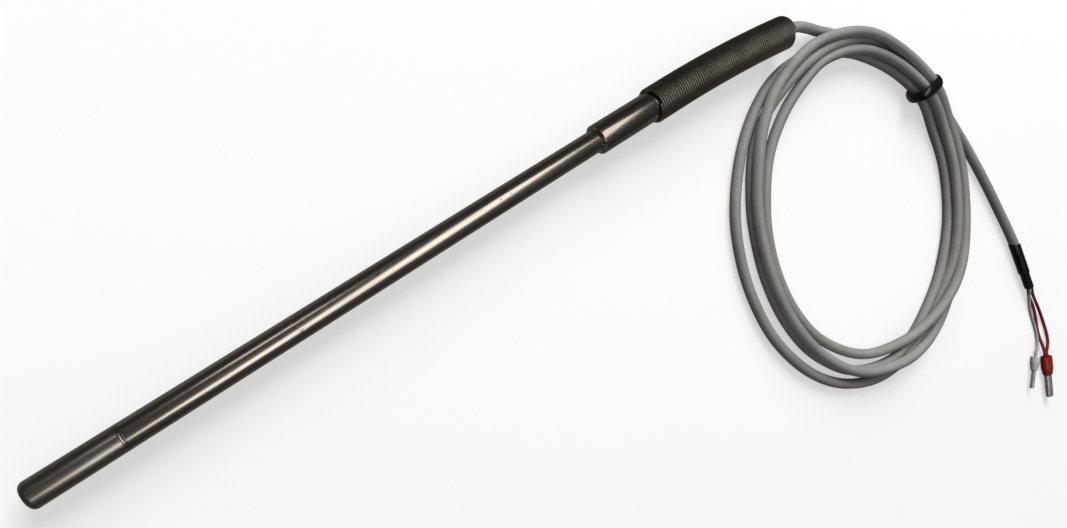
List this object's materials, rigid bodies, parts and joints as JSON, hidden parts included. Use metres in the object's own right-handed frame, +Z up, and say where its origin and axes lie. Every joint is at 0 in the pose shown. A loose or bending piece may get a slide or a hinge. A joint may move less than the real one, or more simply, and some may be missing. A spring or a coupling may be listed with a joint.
{
  "type": "resistance temperature probe",
  "caption": "Stainless cable probe for temperature, with a bend-protection spring and a coiled grey lead that ends in crimped ferrules.",
  "frame": {"origin": "on the sheath's axis, at the front face of the transition sleeve, from which the sheath's insertion length is counted", "axes": "+X along the sheath from its tip towards the cable, +Z up from the surface on which the spring and the coil lie, +Y away from the coil"},
  "size_m": [0.2884, 0.1823, 0.0098],
  "materials": {
    "sheath_steel": "drawn stainless, dulled, with fine lengthwise lines",
    "weld_metal": "weld bead, rippled and heat-darkened",
    "sleeve_steel": "turned stainless, half bright",
    "spring_steel": "close-wound spring wire, dark and oiled",
    "element_ceramic": "fired ceramic",
    "lead_metal": "bright platinum-coated lead",
    "paste": "heat-conducting paste",
    "splice_metal": "tinned crimp",
    "insulation": "thin insulating sleeve",
    "core_red": "red core insulation",
    "core_white": "white core insulation",
    "potting": "cast resin",
    "grommet_rubber": "moulded rubber bush",
    "jacket": "grey silicone-type jacket, satin, slightly mottled",
    "ring_rubber": "black rubber ring, slightly glossy",
    "shrink": "black heat-shrink tubing",
    "collar_white": "moulded white ferrule collar",
    "collar_red": "moulded red twin ferrule collar",
    "pin_tin": "tinned copper, crimped",
    "strand_copper": "bare copper strands"
  },
  "bodies": {
    "root": {"tip_thimble": "sheath_steel", "tip_seam_weld": "weld_metal", "sheath_tube": "sheath_steel", "sleeve_weld": "weld_metal", "transition_sleeve": "sleeve_steel", "pt100_element": "element_ceramic", "element_lead_red": "lead_metal", "element_lead_white": "lead_metal", "heat_paste": "paste", "splice_red": "splice_metal", "splice_white": "splice_metal", "splice_insulation": "insulation", "inner_core_red_a": "core_red", "inner_core_red_b": "core_red", "inner_core_white": "core_white", "potting_plug": "potting", "jacket_crimp_ring": "splice_metal", "cable_grommet": "grommet_rubber", "cable_in_sleeve": "jacket", "cable_in_spring": "jacket", "bend_spring": "spring_steel", "cable_exit": "jacket", "cable_coil": "jacket", "cable_tail": "jacket", "tie_ring": "ring_rubber", "heat_shrink": "shrink", "core_red_a": "core_red", "core_red_b": "core_red", "core_white": "core_white", "white_collar": "collar_white", "white_pin": "pin_tin", "white_strands": "strand_copper", "red_twin_collar": "collar_red", "red_twin_pin": "pin_tin", "red_strands": "strand_copper"}
  },
  "joints": []
}
